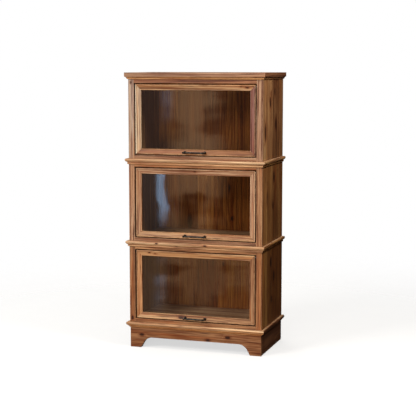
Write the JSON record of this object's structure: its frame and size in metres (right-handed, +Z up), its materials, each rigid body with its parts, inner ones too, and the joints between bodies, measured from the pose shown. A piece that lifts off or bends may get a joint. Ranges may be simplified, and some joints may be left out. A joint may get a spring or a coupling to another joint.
{
  "type": "barrister bookcase",
  "caption": "Wooden barrister bookcase with stacked glazed sections on an arched plinth; each door flips up and slides back over the books.",
  "frame": {"origin": "on the floor, under the middle of the overall box, pulls included", "axes": "+Z up, -Y out through the doors, +X to the right for someone facing the doors"},
  "size_m": [0.732, 0.425, 1.404],
  "materials": {
    "frame_wood": "satin oiled softwood, tan brown with pinkish streaks",
    "door_wood": "satin oiled softwood, honey to red brown, varies by piece",
    "ledge_wood": "satin oiled softwood, pale tan, worn bright along the edges",
    "side_wood": "satin oiled softwood planks with dark knots",
    "plinth_wood": "satin oiled softwood, red brown with knots",
    "inner_wood": "dull stained softwood boards",
    "black_iron": "satin black with worn highlights",
    "dark_steel": "dull oiled",
    "glass": "clear polished"
  },
  "bodies": {
    "case": {"bottom_side_left": "side_wood", "bottom_side_right": "side_wood", "bottom_face_stiles": "frame_wood", "bottom_head_rail": "frame_wood", "bottom_sill_rail": "frame_wood", "bottom_back_boards": "inner_wood", "bottom_floor_board": "inner_wood", "bottom_ledge_board": "ledge_wood", "bottom_cove_moulding": "ledge_wood", "bottom_slide_tracks": "inner_wood", "middle_side_left": "side_wood", "middle_side_right": "side_wood", "middle_face_stiles": "frame_wood", "middle_head_rail": "frame_wood", "middle_sill_rail": "frame_wood", "middle_back_boards": "inner_wood", "middle_floor_board": "inner_wood", "middle_ledge_board": "ledge_wood", "middle_cove_moulding": "ledge_wood", "middle_slide_tracks": "inner_wood", "top_side_left": "side_wood", "top_side_right": "side_wood", "top_face_stiles": "frame_wood", "top_head_rail": "frame_wood", "top_sill_rail": "frame_wood", "top_back_boards": "inner_wood", "top_floor_board": "inner_wood", "top_ledge_board": "ledge_wood", "top_cove_moulding": "ledge_wood", "top_slide_tracks": "inner_wood", "plinth_front": "plinth_wood", "plinth_left": "plinth_wood", "plinth_right": "plinth_wood", "plinth_back": "plinth_wood", "base_board": "ledge_wood", "base_cove": "ledge_wood"},
    "bottom_carrier": {"bottom_follower_strip": "inner_wood", "bottom_carriages": "dark_steel"},
    "middle_carrier": {"middle_follower_strip": "inner_wood", "middle_carriages": "dark_steel"},
    "top_carrier": {"top_follower_strip": "inner_wood", "top_carriages": "dark_steel"},
    "bottom_door": {"bottom_door_stiles": "door_wood", "bottom_door_top_rail": "door_wood", "bottom_door_bottom_rail": "door_wood", "bottom_glass_pane": "glass", "bottom_glazing_beads": "inner_wood", "bottom_pull": "black_iron"},
    "middle_door": {"middle_door_stiles": "door_wood", "middle_door_top_rail": "door_wood", "middle_door_bottom_rail": "door_wood", "middle_glass_pane": "glass", "middle_glazing_beads": "inner_wood", "middle_pull": "black_iron"},
    "top_door": {"top_door_stiles": "door_wood", "top_door_top_rail": "door_wood", "top_door_bottom_rail": "door_wood", "top_glass_pane": "glass", "top_glazing_beads": "inner_wood", "top_pull": "black_iron"}
  },
  "joints": [
    {"name": "bottom_door_slide", "type": "slide", "parent": "case", "child": "bottom_carrier", "axis": [0, 1, 0], "range_m": [0, 0.285]},
    {"name": "bottom_door_flip", "type": "hinge", "parent": "bottom_carrier", "child": "bottom_door", "pos_m": [0, -0.1735, 0.4945], "axis": [-1, 0, 0], "range_deg": [0, 90]},
    {"name": "middle_door_slide", "type": "slide", "parent": "case", "child": "middle_carrier", "axis": [0, 1, 0], "range_m": [0, 0.285]},
    {"name": "middle_door_flip", "type": "hinge", "parent": "middle_carrier", "child": "middle_door", "pos_m": [0, -0.1735, 0.9145], "axis": [-1, 0, 0], "range_deg": [0, 90]},
    {"name": "top_door_slide", "type": "slide", "parent": "case", "child": "top_carrier", "axis": [0, 1, 0], "range_m": [0, 0.285]},
    {"name": "top_door_flip", "type": "hinge", "parent": "top_carrier", "child": "top_door", "pos_m": [0, -0.1735, 1.3345], "axis": [-1, 0, 0], "range_deg": [0, 90]}
  ]
}
